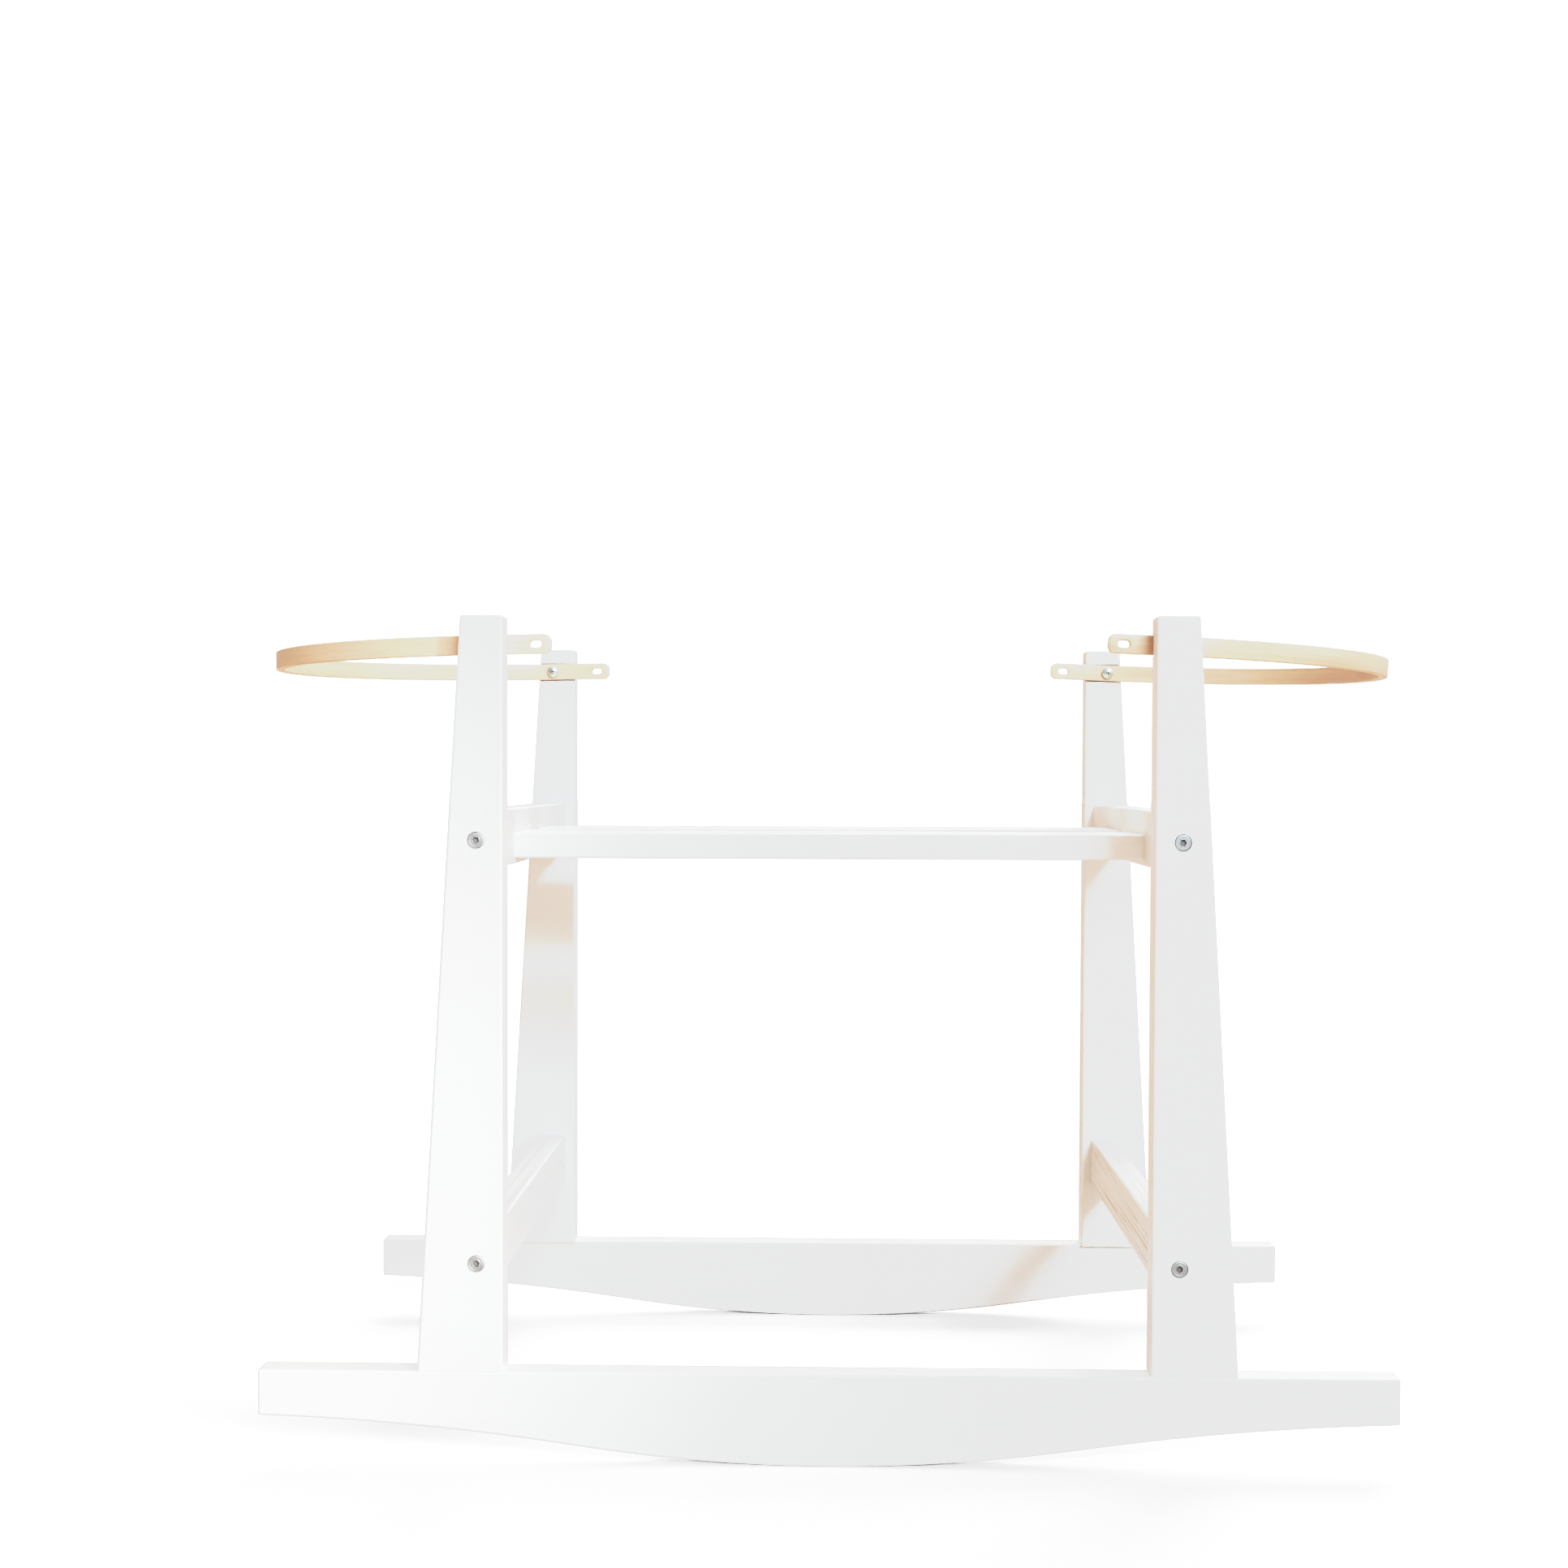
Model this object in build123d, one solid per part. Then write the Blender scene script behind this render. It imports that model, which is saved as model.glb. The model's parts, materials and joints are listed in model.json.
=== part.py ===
from build123d import *

import os
from math import asin, cos, sin, sqrt

# A wooden rocking stand for a baby's basket. X runs along the rockers, Y from front to rear and Z up.
# The origin is on the floor under the middle of the stand. All sizes are in millimetres.

LEFT, RIGHT = -1, 1
FRONT, REAR = -1, 1
SIDES = {"left": LEFT, "right": RIGHT}
FACES = {"front": FRONT, "rear": REAR}

# Overall frame
DEPTH = 460.0
HEIGHT = 603.0
EASED_EDGE = 1.8

# Rockers: a flat top edge over a belly that sweeps up into thin ends
ROCKER_LENGTH = 810.0
ROCKER_HEIGHT = 66.0
ROCKER_THICKNESS = 22.0
BELLY_RADIUS = 1200.0
BELLY_HALF_SPAN = 178.0
SWEEP_RADIUS = 1900.0

# Legs: boards that stand on the rockers, upright inside and tapered outside
LEG_THICKNESS = 27.0
LEG_INNER_X = 230.0
LEG_TOP_WIDTH = 30.0
LEG_FOOT_WIDTH = 61.0

# Side rails, bolted between a front and a rear leg
RAIL_THICKNESS = 22.0
RAIL_HEIGHT = 42.0
FIXING_X = 249.0
RAIL_Z = {"upper": 444.0, "lower": 143.0}

# Slats that the basket stands on, between the two upper side rails
SLAT_THICKNESS = 19.0
SLAT_WIDTH = 95.0
SLAT_GAP = 46.0
SLAT_TOP_Z = 446.5

# Bentwood hoops: two straight arms and a half circle, held in a groove across each leg
HOOP_Z = 583.0
HOOP_REACH = 442.0
HOOP_TIP_X = 198.5
BAND_HEIGHT = 14.0
BAND_THICKNESS = 7.0
BAND_TIP_RADIUS = 5.0
BAND_EASED_EDGE = 0.8
HOOP_PLAY = 0.3
GROOVE_DEPTH = 5.0
GROOVE_HEIGHT = 15.8
SLOT_X = 209.5
SLOT_LENGTH = 8.8
SLOT_WIDTH = 5.2
HOOP_DROOP = {"left": 1.2, "right": 2.4}  # degrees that each hoop's outer end hangs in its groove

# Furniture bolts with barrel nuts, one at each end of each side rail
BOLT_RADIUS = 3.0
BOLT_HOLE_RADIUS = 3.25
BOLT_HEAD_RADIUS = 6.0
BOLT_HEAD_HEIGHT = 2.6
BOLT_LENGTH = 50.0
BOLT_SOCKET_ACROSS = 4.0
BOLT_SOCKET_DEPTH = 2.0
COUNTERBORE_RADIUS = 6.25
COUNTERBORE_DEPTH = 2.8
NUT_RADIUS = 5.0
NUT_LENGTH = 16.0
NUT_SETBACK = 20.0
NUT_SLOT_WIDTH = 1.4
NUT_SLOT_DEPTH = 1.8

# Machine screws and threaded inserts for the hoops
PIVOT_RADIUS = 2.5
PIVOT_CLEARANCE = 0.075
PIVOT_HEAD_RADIUS = 5.0
PIVOT_HEAD_HEIGHT = 3.4
INSERT_RADIUS = 4.0
INSERT_LENGTH = 11.0
INSERT_GROOVE = 0.5

# Countersunk wood screws that hold the slats
SCREW_RADIUS = 2.25
SCREW_HEAD_RADIUS = 4.5
SCREW_LENGTH = 50.0
SCREW_POINT = 6.0
SCREW_OFFSET = 30.0

# Glued dowels
RAIL_DOWEL_RADIUS = 3.0
RAIL_DOWEL_LENGTH = 24.0
RAIL_DOWEL_OFFSET = 14.0
SLAT_DOWEL_RADIUS = 4.0
SLAT_DOWEL_LENGTH = 30.0
SLAT_DOWEL_IN_RAIL = 12.0
FOOT_DOWEL_RADIUS = 5.0
FOOT_DOWEL_LENGTH = 60.0
FOOT_DOWEL_X = (246.0, 275.0)

FIT_GAP = 0.05  # radial room round a screw, nut, insert or dowel in its own hole
OVERCUT = 1.0  # how far a cutter runs past the face that it opens

# Planes that follow from the sizes above
LEG_BACK_Y = DEPTH / 2 - LEG_THICKNESS
GROOVE_FLOOR_Y = LEG_BACK_Y + GROOVE_DEPTH
HOOP_OUTER_RADIUS = GROOVE_FLOOR_Y - HOOP_PLAY
HOOP_INNER_RADIUS = HOOP_OUTER_RADIUS - BAND_THICKNESS
HOOP_CENTRE_X = HOOP_REACH - HOOP_OUTER_RADIUS
HEAD_EDGE_X = FIXING_X + PIVOT_HEAD_RADIUS - HOOP_CENTRE_X
PIVOT_SEAT_Y = sqrt(HOOP_INNER_RADIUS**2 - HEAD_EDGE_X**2) - HOOP_PLAY
RAIL_INNER_X = FIXING_X - RAIL_THICKNESS / 2
RAIL_OUTER_X = FIXING_X + RAIL_THICKNESS / 2
SLAT_Y = (SLAT_GAP + SLAT_WIDTH) / 2
SLAT_Z = SLAT_TOP_Z - SLAT_THICKNESS / 2
ROCKER_Y = DEPTH / 2 - ROCKER_THICKNESS / 2
BOLT_SEAT_Y = DEPTH / 2 - COUNTERBORE_DEPTH
NUT_Y = LEG_BACK_Y - NUT_SETBACK


def block(low, high):
    """A box between two opposite corners, given in either order."""
    size = [abs(b - a) for a, b in zip(low, high)]
    middle = [(a + b) / 2 for a, b in zip(low, high)]
    return Pos(*middle) * Box(*size)


def rod(radius, start, end):
    """A round bar from start to end."""
    run = Vector(*end) - Vector(*start)
    return Solid.make_cylinder(radius, run.length, Plane(origin=start, z_dir=run))


def taper(base_radius, top_radius, start, end):
    """A cone or truncated cone from start to end."""
    run = Vector(*end) - Vector(*start)
    return Solid.make_cone(base_radius, top_radius, run.length, Plane(origin=start, z_dir=run))


def group(pieces):
    """Separate solids that share one node."""
    return Compound(children=[piece.solid() for piece in pieces])


def eased(board, axis):
    """Round the long edges of a board that runs along axis."""
    return fillet(board.edges().filter_by(axis), EASED_EDGE)


def cross_recess(radius, depth):
    """A cutter for a cross-shaped driver recess, sunk below the plane z = 0."""
    blade = Box(2 * radius, 0.9, 2 * depth)
    return blade + Rot(0, 0, 90) * blade + Solid.make_cone(0.2, 1.1, depth, Plane((0, 0, -depth)))


# Rockers


def rocker_underside():
    """The belly arc and the arc that sweeps up to each end, tangent where they meet."""
    angle = asin(BELLY_HALF_SPAN / BELLY_RADIUS)
    join = (BELLY_HALF_SPAN, BELLY_RADIUS * (1 - cos(angle)))
    centre = (join[0] + SWEEP_RADIUS * sin(angle), join[1] - SWEEP_RADIUS * cos(angle))

    def sweep_point(x):
        return (x, centre[1] + sqrt(SWEEP_RADIUS**2 - (x - centre[0]) ** 2))

    middle = sweep_point((BELLY_HALF_SPAN + ROCKER_LENGTH / 2) / 2)
    end = sweep_point(ROCKER_LENGTH / 2)
    belly = ThreePointArc((-join[0], join[1]), (0, 0), join)
    right = ThreePointArc(join, middle, end)
    left = ThreePointArc((-end[0], end[1]), (-middle[0], middle[1]), (-join[0], join[1]))
    return left, belly, right, end


def rocker_blank():
    """One rocker centred on Y = 0, before its dowel holes."""
    left, belly, right, end = rocker_underside()
    top_left = (-end[0], ROCKER_HEIGHT)
    top_right = (end[0], ROCKER_HEIGHT)
    rise = Line(end, top_right)
    top = Line(top_right, top_left)
    fall = Line(top_left, (-end[0], end[1]))
    outline = make_face(Curve() + [left, belly, right, rise, top, fall])
    blank = extrude(Plane.XZ * outline, ROCKER_THICKNESS / 2, both=True)
    return fillet(blank.edges(), EASED_EDGE)


def foot_dowel_ends(side, face, x):
    """The lower and upper end of one leg's dowel."""
    y = face * ROCKER_Y
    half = FOOT_DOWEL_LENGTH / 2
    return (side * x, y, ROCKER_HEIGHT - half), (side * x, y, ROCKER_HEIGHT + half)


def foot_dowel_holes(face):
    holes = []
    for side in SIDES.values():
        for x in FOOT_DOWEL_X:
            holes.append(rod(FOOT_DOWEL_RADIUS + FIT_GAP, *foot_dowel_ends(side, face, x)))
    return holes


def rocker(face):
    return Pos(0, face * ROCKER_Y, 0) * rocker_blank() - foot_dowel_holes(face)


def foot_dowels(side, face):
    return group([rod(FOOT_DOWEL_RADIUS, *foot_dowel_ends(side, face, x)) for x in FOOT_DOWEL_X])


# Legs


def leg_blank(side):
    """One tapered leg centred on Y = 0. Its foot stays square where it meets the rocker."""
    outline = Polyline(
        (side * LEG_INNER_X, ROCKER_HEIGHT),
        (side * (LEG_INNER_X + LEG_FOOT_WIDTH), ROCKER_HEIGHT),
        (side * (LEG_INNER_X + LEG_TOP_WIDTH), HEIGHT),
        (side * LEG_INNER_X, HEIGHT),
        close=True,
    )
    blank = extrude(Plane.XZ * make_face(outline), LEG_THICKNESS / 2, both=True)
    foot = blank.faces().sort_by(Axis.Z)[0]
    return fillet([edge for edge in blank.edges() if edge not in foot.edges()], EASED_EDGE)


def hoop_groove(side, face):
    """The groove across the leg's inner face that holds the arm of a hoop level."""
    outer_x = LEG_INNER_X + LEG_FOOT_WIDTH
    low = (side * (LEG_INNER_X - OVERCUT), face * (LEG_BACK_Y - OVERCUT), HOOP_Z - GROOVE_HEIGHT / 2)
    high = (side * outer_x, face * GROOVE_FLOOR_Y, HOOP_Z + GROOVE_HEIGHT / 2)
    return block(low, high)


def insert_ends(side, face):
    start = (side * FIXING_X, face * GROOVE_FLOOR_Y, HOOP_Z)
    end = (side * FIXING_X, face * (GROOVE_FLOOR_Y + INSERT_LENGTH), HOOP_Z)
    return start, end


def rail_dowel_ends(side, face, z):
    half = RAIL_DOWEL_LENGTH / 2
    start = (side * FIXING_X, face * (LEG_BACK_Y - half), z)
    end = (side * FIXING_X, face * (LEG_BACK_Y + half), z)
    return start, end


def rail_dowel_heights(rail_z):
    return rail_z - RAIL_DOWEL_OFFSET, rail_z + RAIL_DOWEL_OFFSET


def bolt_holes(side, face, rail_z):
    """The clearance hole and counterbore for one bolt, on through the leg and into the rail."""
    x = side * FIXING_X
    hole_end = BOLT_SEAT_Y - BOLT_LENGTH - OVERCUT
    hole = rod(BOLT_HOLE_RADIUS, (x, face * DEPTH / 2, rail_z), (x, face * hole_end, rail_z))
    mouth = (x, face * (DEPTH / 2 + OVERCUT), rail_z)
    counterbore = rod(COUNTERBORE_RADIUS, mouth, (x, face * BOLT_SEAT_Y, rail_z))
    return [hole, counterbore]


def rail_end_dowel_holes(side, face, rail_z):
    radius = RAIL_DOWEL_RADIUS + FIT_GAP
    return [rod(radius, *rail_dowel_ends(side, face, z)) for z in rail_dowel_heights(rail_z)]


def leg(side, face):
    body = Pos(0, face * (DEPTH / 2 - LEG_THICKNESS / 2), 0) * leg_blank(side)
    cutters = [hoop_groove(side, face), rod(INSERT_RADIUS + FIT_GAP, *insert_ends(side, face))]
    cutters += foot_dowel_holes(face)
    for rail_z in RAIL_Z.values():
        cutters += bolt_holes(side, face, rail_z)
        cutters += rail_end_dowel_holes(side, face, rail_z)
    return body - cutters


# Side rails


def nut_hole(side, face, rail_z):
    """The hole for a barrel nut, drilled up from the underside of the rail."""
    x, y = side * FIXING_X, face * NUT_Y
    top = (x, y, rail_z + NUT_LENGTH / 2 + FIT_GAP)
    return rod(NUT_RADIUS + FIT_GAP, (x, y, rail_z - RAIL_HEIGHT / 2 - OVERCUT), top)


def side_rail(side, rail_z):
    rail = block(
        (side * RAIL_INNER_X, -LEG_BACK_Y, rail_z - RAIL_HEIGHT / 2),
        (side * RAIL_OUTER_X, LEG_BACK_Y, rail_z + RAIL_HEIGHT / 2),
    )
    cutters = []
    for face in FACES.values():
        cutters += bolt_holes(side, face, rail_z)
        cutters += rail_end_dowel_holes(side, face, rail_z)
        cutters.append(nut_hole(side, face, rail_z))
    return eased(rail, Axis.Y) - cutters


def upper_side_rail(side):
    """An upper rail, which also takes the screws and dowels of the slats."""
    return side_rail(side, RAIL_Z["upper"]) - slat_fixing_holes(side)


def rail_bolt(side, face, rail_z):
    """A flat-headed bolt with a hexagon socket, sunk just under the face of the leg."""
    x = side * FIXING_X
    seat = (x, face * BOLT_SEAT_Y, rail_z)
    top = (x, face * (BOLT_SEAT_Y + BOLT_HEAD_HEIGHT), rail_z)
    shank = rod(BOLT_RADIUS, seat, (x, face * (BOLT_SEAT_Y - BOLT_LENGTH), rail_z))
    head = rod(BOLT_HEAD_RADIUS, seat, top)
    head = fillet(head.edges().sort_by(Axis.Y)[-1 if face == REAR else 0], 0.9)
    hexagon = RegularPolygon(BOLT_SOCKET_ACROSS / 2, 6, major_radius=False)
    top_plane = Plane(origin=top, x_dir=(1, 0, 0), z_dir=(0, face, 0))
    socket = extrude(top_plane * hexagon, -BOLT_SOCKET_DEPTH)
    return head + shank - socket


def rail_bolts(side, face):
    return group([rail_bolt(side, face, rail_z) for rail_z in RAIL_Z.values()])


def barrel_nut(side, face, rail_z):
    """A cross dowel with a threaded cross hole and a driver slot in its lower end."""
    x, y = side * FIXING_X, face * NUT_Y
    low, high = rail_z - NUT_LENGTH / 2, rail_z + NUT_LENGTH / 2
    body = rod(NUT_RADIUS, (x, y, low), (x, y, high))
    reach = NUT_RADIUS + OVERCUT
    thread = rod(BOLT_RADIUS + FIT_GAP, (x, y - reach, rail_z), (x, y + reach, rail_z))
    slot = Pos(x, y, low) * Box(NUT_SLOT_WIDTH, 2 * reach, 2 * NUT_SLOT_DEPTH)
    return body - [thread, slot]


def barrel_nuts(side, face):
    return group([barrel_nut(side, face, rail_z) for rail_z in RAIL_Z.values()])


def rail_dowels(side, face):
    dowels = []
    for rail_z in RAIL_Z.values():
        for z in rail_dowel_heights(rail_z):
            dowels.append(rod(RAIL_DOWEL_RADIUS, *rail_dowel_ends(side, face, z)))
    return group(dowels)


# Slats


def slat_screw(side, y, gap=0.0):
    """A countersunk wood screw through the rail into a slat's end, or its hole if gap is given."""
    radius = SCREW_RADIUS + gap
    tip_x = RAIL_OUTER_X - SCREW_LENGTH
    point_x = tip_x + SCREW_POINT
    cone_depth = SCREW_HEAD_RADIUS - SCREW_RADIUS
    shank = rod(radius, (side * RAIL_OUTER_X, y, SLAT_Z), (side * point_x, y, SLAT_Z))
    point = taper(radius, 0.3 + gap, (side * point_x, y, SLAT_Z), (side * (tip_x - gap), y, SLAT_Z))
    neck = (side * (RAIL_OUTER_X - cone_depth), y, SLAT_Z)
    head = taper(SCREW_HEAD_RADIUS + gap, radius, (side * RAIL_OUTER_X, y, SLAT_Z), neck)
    return shank + point + head


def slat_screw_places():
    return [face * SLAT_Y + step * SCREW_OFFSET for face in FACES.values() for step in (-1, 1)]


def slat_dowel_ends(side, face):
    inner = RAIL_INNER_X + SLAT_DOWEL_IN_RAIL
    y = face * SLAT_Y
    return (side * inner, y, SLAT_Z), (side * (inner - SLAT_DOWEL_LENGTH), y, SLAT_Z)


def slat_fixing_holes(side):
    holes = [slat_screw(side, y, FIT_GAP) for y in slat_screw_places()]
    for face in FACES.values():
        holes.append(rod(SLAT_DOWEL_RADIUS + FIT_GAP, *slat_dowel_ends(side, face)))
    return holes


def slat(face):
    board = block(
        (-RAIL_INNER_X, face * SLAT_Y - SLAT_WIDTH / 2, SLAT_TOP_Z - SLAT_THICKNESS),
        (RAIL_INNER_X, face * SLAT_Y + SLAT_WIDTH / 2, SLAT_TOP_Z),
    )
    return eased(board, Axis.X) - slat_fixing_holes(LEFT) - slat_fixing_holes(RIGHT)


def slat_screws(side):
    """The screws of one side, each with a cross recess in its head."""
    recess = cross_recess(2.4, 1.8)
    screws = []
    for y in slat_screw_places():
        place = Plane(origin=(side * RAIL_OUTER_X, y, SLAT_Z), z_dir=(side, 0, 0))
        screws.append(slat_screw(side, y) - place * recess)
    return group(screws)


def slat_dowels(side):
    return group([rod(SLAT_DOWEL_RADIUS, *slat_dowel_ends(side, face)) for face in FACES.values()])


# Hoops


def band_plan(radius, tip_x):
    """The area inside one edge of a hoop: two straight sides closed by a half circle."""
    straight = HOOP_CENTRE_X - tip_x
    rectangle = Pos(tip_x + straight / 2, 0) * Rectangle(straight, 2 * radius)
    return rectangle + Pos(HOOP_CENTRE_X, 0) * Circle(radius)


def round_tips(band):
    """Round the upper and lower corners of both open ends."""
    corners = [edge for edge in band.edges().filter_by(Axis.Y) if edge.center().X < HOOP_TIP_X + 0.1]
    return fillet(corners, BAND_TIP_RADIUS)


def band_slot(face):
    """An oblong hole near the end of one arm."""
    half = (SLOT_LENGTH - SLOT_WIDTH) / 2
    near, far = face * (HOOP_INNER_RADIUS - OVERCUT), face * (HOOP_OUTER_RADIUS + OVERCUT)
    radius = SLOT_WIDTH / 2
    slot = block((SLOT_X - half, near, -radius), (SLOT_X + half, far, radius))
    for x in (SLOT_X - half, SLOT_X + half):
        slot += rod(radius, (x, near, 0), (x, far, 0))
    return slot


def level_hoop():
    """The right-hand hoop, level and centred on Z = 0."""
    inside = band_plan(HOOP_INNER_RADIUS, HOOP_TIP_X - OVERCUT)
    inside += Pos(HOOP_CENTRE_X / 2, 0) * Rectangle(HOOP_CENTRE_X, 2 * HOOP_INNER_RADIUS)
    plan = band_plan(HOOP_OUTER_RADIUS, HOOP_TIP_X) - inside
    plan &= Pos(HOOP_TIP_X + HOOP_REACH / 2, 0) * Rectangle(HOOP_REACH, 2 * DEPTH)
    band = extrude(plan, BAND_HEIGHT / 2, both=True)
    band = round_tips(band)
    rims = band.faces().filter_by(Axis.Z)
    band = fillet(rims.edges(), BAND_EASED_EDGE)
    for face in FACES.values():
        near, far = face * (HOOP_INNER_RADIUS - OVERCUT), face * (HOOP_OUTER_RADIUS + OVERCUT)
        pivot = rod(PIVOT_RADIUS + PIVOT_CLEARANCE, (FIXING_X, near, 0), (FIXING_X, far, 0))
        band -= [pivot, band_slot(face)]
    return band


def hoop(side, droop):
    """A hoop on its screws, with its outer end hanging by droop degrees."""
    band = level_hoop()
    if side == LEFT:
        band = Rot(0, 0, 180) * band
    pivot = Axis((side * FIXING_X, 0, 0), (0, side, 0))
    return Pos(0, 0, HOOP_Z) * band.rotate(pivot, droop)


def hoop_screw(side, face):
    """A pan-headed machine screw that the arm of a hoop turns on."""
    x = side * FIXING_X
    head_y = PIVOT_SEAT_Y - PIVOT_HEAD_HEIGHT
    seat = (x, face * PIVOT_SEAT_Y, HOOP_Z)
    shank = rod(PIVOT_RADIUS, seat, (x, face * (GROOVE_FLOOR_Y + INSERT_LENGTH - 1), HOOP_Z))
    head = rod(PIVOT_HEAD_RADIUS, seat, (x, face * head_y, HOOP_Z))
    head = fillet(head.edges().sort_by(Axis.Y)[0 if face == REAR else -1], 2.0)
    top = Plane(origin=(x, face * head_y, HOOP_Z), x_dir=(1, 0, 0), z_dir=(0, -face, 0))
    return head + shank - top * cross_recess(2.6, 1.9)


def hoop_screws(side):
    return group([hoop_screw(side, face) for face in FACES.values()])


def hoop_insert(side, face):
    """A threaded insert with gripping rings, pressed into the floor of a groove."""
    start, end = insert_ends(side, face)
    x, z = start[0], start[2]
    body = rod(INSERT_RADIUS, start, end)
    bore_start = (x, start[1] - face * OVERCUT, z)
    bore = rod(PIVOT_RADIUS + FIT_GAP, bore_start, (x, end[1] + face * OVERCUT, z))
    for step in (3.0, 5.5, 8.0):
        near, far = start[1] + face * step, start[1] + face * (step + 1)
        ring = rod(INSERT_RADIUS + OVERCUT, (x, near, z), (x, far, z))
        body -= ring - rod(INSERT_RADIUS - INSERT_GROOVE, (x, near, z), (x, far, z))
    return body - bore


def hoop_inserts(side):
    return group([hoop_insert(side, face) for face in FACES.values()])


def all_parts():
    """Every node of the stand, by name."""
    parts = {}
    for face_name, face in FACES.items():
        parts[f"rocker_{face_name}"] = rocker(face)
        parts[f"slat_{face_name}"] = slat(face)
        for side_name, side in SIDES.items():
            corner = f"{face_name}_{side_name}"
            parts[f"leg_{corner}"] = leg(side, face)
            parts[f"foot_dowels_{corner}"] = foot_dowels(side, face)
            parts[f"rail_bolts_{corner}"] = rail_bolts(side, face)
            parts[f"barrel_nuts_{corner}"] = barrel_nuts(side, face)
            parts[f"rail_dowels_{corner}"] = rail_dowels(side, face)
    for side_name, side in SIDES.items():
        parts[f"upper_side_rail_{side_name}"] = upper_side_rail(side)
        parts[f"lower_side_rail_{side_name}"] = side_rail(side, RAIL_Z["lower"])
        parts[f"slat_screws_{side_name}"] = slat_screws(side)
        parts[f"slat_dowels_{side_name}"] = slat_dowels(side)
        parts[f"hoop_{side_name}"] = hoop(side, HOOP_DROOP[side_name])
        parts[f"hoop_screws_{side_name}"] = hoop_screws(side)
        parts[f"hoop_inserts_{side_name}"] = hoop_inserts(side)
    return parts


os.makedirs("parts", exist_ok=True)
for name, shape in all_parts().items():
    export_step(shape, f"parts/{name}.step")
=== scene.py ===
import json
import math

import bmesh
import bpy
from mathutils import Matrix, Vector

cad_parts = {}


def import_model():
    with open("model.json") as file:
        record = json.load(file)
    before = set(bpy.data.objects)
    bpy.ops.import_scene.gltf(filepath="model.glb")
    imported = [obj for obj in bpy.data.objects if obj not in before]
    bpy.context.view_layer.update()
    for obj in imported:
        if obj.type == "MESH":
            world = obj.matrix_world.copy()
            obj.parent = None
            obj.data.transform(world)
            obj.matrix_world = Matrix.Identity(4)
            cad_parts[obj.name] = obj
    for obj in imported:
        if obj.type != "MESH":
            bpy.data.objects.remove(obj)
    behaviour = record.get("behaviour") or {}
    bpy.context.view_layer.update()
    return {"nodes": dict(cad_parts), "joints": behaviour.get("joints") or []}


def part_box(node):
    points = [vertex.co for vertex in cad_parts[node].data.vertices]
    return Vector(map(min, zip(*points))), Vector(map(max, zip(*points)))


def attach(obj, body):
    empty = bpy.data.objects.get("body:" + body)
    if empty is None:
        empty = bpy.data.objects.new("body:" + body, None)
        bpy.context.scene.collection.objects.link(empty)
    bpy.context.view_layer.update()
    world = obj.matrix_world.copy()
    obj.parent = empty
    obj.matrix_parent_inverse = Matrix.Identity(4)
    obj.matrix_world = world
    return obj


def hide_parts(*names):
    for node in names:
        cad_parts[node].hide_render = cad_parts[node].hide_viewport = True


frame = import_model()

# A white-painted rocking stand with two bentwood hoops. X runs along the rockers, Y from front to rear,
# Z up. Lengths are in metres. Boards, dowels, nuts and inserts are the frame's own nodes with better
# materials. The hoops, bolts and screws are finer pieces that stand for their nodes.

MM = 0.001
SIDES = {"left": -1, "right": 1}
FACES = {"front": -1, "rear": 1}
JOINTS = {joint["name"]: joint for joint in frame["joints"]}


def span(node, axis):
    """The lowest and highest coordinate of a node along one axis, 0, 1 or 2."""
    low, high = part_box(node)
    return low[axis], high[axis]


# ---------------------------------------------------------------------------------------------
# Mesh helpers


def new_object(name, mesh, place=None):
    obj = bpy.data.objects.new(name, mesh)
    bpy.context.scene.collection.objects.link(obj)
    if place is not None:
        obj.matrix_world = place
    return obj


def mesh_from(name, points, faces, smooth=True):
    mesh = bpy.data.meshes.new(name)
    mesh.from_pydata(points, [], faces)
    mesh.validate()
    if smooth:
        mesh.shade_smooth()
    return mesh


def lathe(profile, steps=48):
    """Points and faces of a closed solid of revolution about Z. The profile's ends lie on the axis."""
    points = [(0.0, 0.0, profile[0][1])]
    for radius, z in profile[1:-1]:
        for i in range(steps):
            angle = math.tau * i / steps
            points.append((radius * math.cos(angle), radius * math.sin(angle), z))
    points.append((0.0, 0.0, profile[-1][1]))
    last = len(points) - 1
    rings = len(profile) - 2
    faces = []
    for i in range(steps):
        j = (i + 1) % steps
        faces.append((0, 1 + j, 1 + i))
        for ring in range(rings - 1):
            base = 1 + ring * steps
            faces.append((base + i, base + j, base + steps + j, base + steps + i))
        base = 1 + (rings - 1) * steps
        faces.append((base + i, base + j, last))
    return points, faces


def outward(mesh):
    """Turn every face so that it points out of its solid."""
    shape = bmesh.new()
    shape.from_mesh(mesh)
    bmesh.ops.recalc_face_normals(shape, faces=shape.faces)
    shape.to_mesh(mesh)
    shape.free()


def baked(obj):
    """Apply the object's modifiers to its mesh."""
    graph = bpy.context.evaluated_depsgraph_get()
    mesh = bpy.data.meshes.new_from_object(obj.evaluated_get(graph))
    old = obj.data
    obj.modifiers.clear()
    obj.data = mesh
    bpy.data.meshes.remove(old)


def cut(obj, cutters):
    """Take the cutters, which are meshes in the object's own frame, out of the object."""
    for mesh in cutters:
        outward(mesh)
        tool = new_object("cutter", mesh, obj.matrix_world.copy())
        modifier = obj.modifiers.new("cut", "BOOLEAN")
        modifier.operation = "DIFFERENCE"
        modifier.solver = "EXACT"
        modifier.object = tool
        bpy.context.view_layer.update()
        baked(obj)
        bpy.data.objects.remove(tool)


def crisp(obj, degrees=32):
    """Smooth shading, with edges sharper than this angle kept crisp."""
    obj.data.shade_smooth()
    obj.data.set_sharp_from_angle(angle=math.radians(degrees))


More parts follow.
